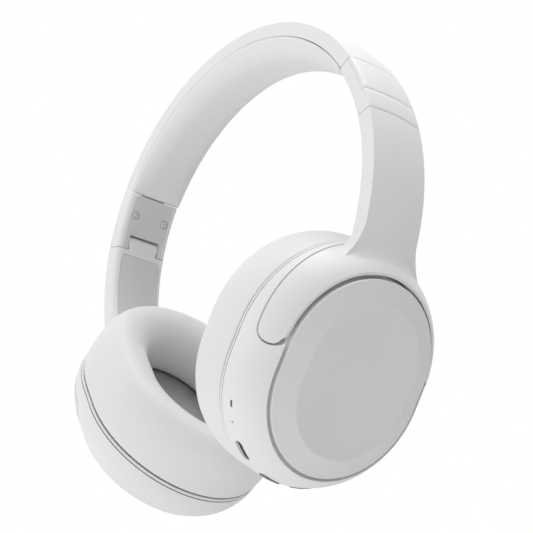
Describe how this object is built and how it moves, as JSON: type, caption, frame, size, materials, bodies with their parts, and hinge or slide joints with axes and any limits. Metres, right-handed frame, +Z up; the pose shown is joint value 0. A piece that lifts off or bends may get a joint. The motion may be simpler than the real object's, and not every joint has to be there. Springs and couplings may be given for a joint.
{
  "type": "over-ear headphones",
  "caption": "White over-ear headphones with a padded sprung headband, sliding hinge blocks, forked arms and tilting cushioned ear cups.",
  "frame": {"origin": "on the floor plane, below the crown of the headband, midway between the cups", "axes": "+X to the wearer's left, +Y to the wearer's back, +Z up to the crown"},
  "size_m": [0.17, 0.08, 0.1917],
  "materials": {
    "white_shell_plastic": "satin moulded white plastic",
    "white_cap_plastic": "smooth satin white plastic",
    "white_protein_leather": "soft white protein leather over foam",
    "spring_steel": "plain steel",
    "dark_inner_plastic": "dark matte plastic, inside",
    "grille_cloth": "thin white mesh cloth on a plate",
    "clear_film": "clear film or light pipe",
    "green_board": "solder-masked board",
    "cell_foil": "foil pouch"
  },
  "bodies": {
    "headband": {"headband_shell": "white_shell_plastic", "headband_pad": "white_protein_leather", "pad_base": "dark_inner_plastic", "headband_spring": "spring_steel", "left_band_guide": "dark_inner_plastic", "right_band_guide": "dark_inner_plastic"},
    "left_slider": {"left_slider_strip": "spring_steel", "left_hinge_block": "white_shell_plastic", "left_hinge_cover": "white_shell_plastic", "left_hinge_plate": "white_shell_plastic", "left_hinge_screws": "spring_steel", "left_hinge_pin": "spring_steel"},
    "left_arm": {"left_yoke": "white_shell_plastic", "left_arm_panel": "white_shell_plastic", "left_pivot_pins": "spring_steel"},
    "left_cup": {"left_cup_housing": "white_shell_plastic", "left_cap": "white_cap_plastic", "left_rim_ring": "white_shell_plastic", "left_baffle": "dark_inner_plastic", "left_driver": "spring_steel", "left_diaphragm": "clear_film", "left_grille": "grille_cloth", "left_ear_cushion": "white_protein_leather", "control_board": "green_board", "usb_port": "spring_steel", "led_lens": "clear_film", "microphone": "dark_inner_plastic"},
    "right_slider": {"right_slider_strip": "spring_steel", "right_hinge_block": "white_shell_plastic", "right_hinge_cover": "white_shell_plastic", "right_hinge_plate": "white_shell_plastic", "right_hinge_screws": "spring_steel", "right_hinge_pin": "spring_steel"},
    "right_arm": {"right_yoke": "white_shell_plastic", "right_arm_panel": "white_shell_plastic", "right_pivot_pins": "spring_steel"},
    "right_cup": {"right_cup_housing": "white_shell_plastic", "right_cap": "white_cap_plastic", "right_rim_ring": "white_shell_plastic", "right_baffle": "dark_inner_plastic", "right_driver": "spring_steel", "right_diaphragm": "clear_film", "right_grille": "grille_cloth", "right_ear_cushion": "white_protein_leather", "battery": "cell_foil"},
    "power_button": {"power_button": "white_cap_plastic"},
    "volume_rocker": {"volume_rocker": "white_cap_plastic"}
  },
  "joints": [
    {"name": "left_slide", "type": "slide", "parent": "headband", "child": "left_slider", "axis": [0.6019, 0, -0.7986], "range_m": [0, 0.02]},
    {"name": "left_fold", "type": "hinge", "parent": "left_slider", "child": "left_arm", "pos_m": [0.07728, 0, 0.12664], "axis": [0, 1, 0], "range_deg": [0, 1.8]},
    {"name": "left_cup_tilt", "type": "hinge", "parent": "left_arm", "child": "left_cup", "pos_m": [0.06005, 0, 0.04115], "axis": [0, -1, 0], "range_deg": [0, 12]},
    {"name": "right_slide", "type": "slide", "parent": "headband", "child": "right_slider", "axis": [-0.6019, 0, -0.7986], "range_m": [0, 0.02]},
    {"name": "right_fold", "type": "hinge", "parent": "right_slider", "child": "right_arm", "pos_m": [-0.07728, 0, 0.12664], "axis": [0, -1, 0], "range_deg": [0, 1.8]},
    {"name": "right_cup_tilt", "type": "hinge", "parent": "right_arm", "child": "right_cup", "pos_m": [-0.06005, 0, 0.04115], "axis": [0, 1, 0], "range_deg": [0, 12]},
    {"name": "power_press", "type": "slide", "parent": "left_cup", "child": "power_button", "axis": [0.5306, 0.225, 0.8172], "range_m": [0, 0.0004], "stiffness_N_per_m": 500, "springref_m": -0.0004},
    {"name": "volume_rock", "type": "hinge", "parent": "left_cup", "child": "volume_rocker", "pos_m": [0.02867, 0.00493, 0.00476], "axis": [0.8387, 0, -0.5446], "range_deg": [-2.5, 2.5], "stiffness_Nm_per_rad": 0.14}
  ]
}
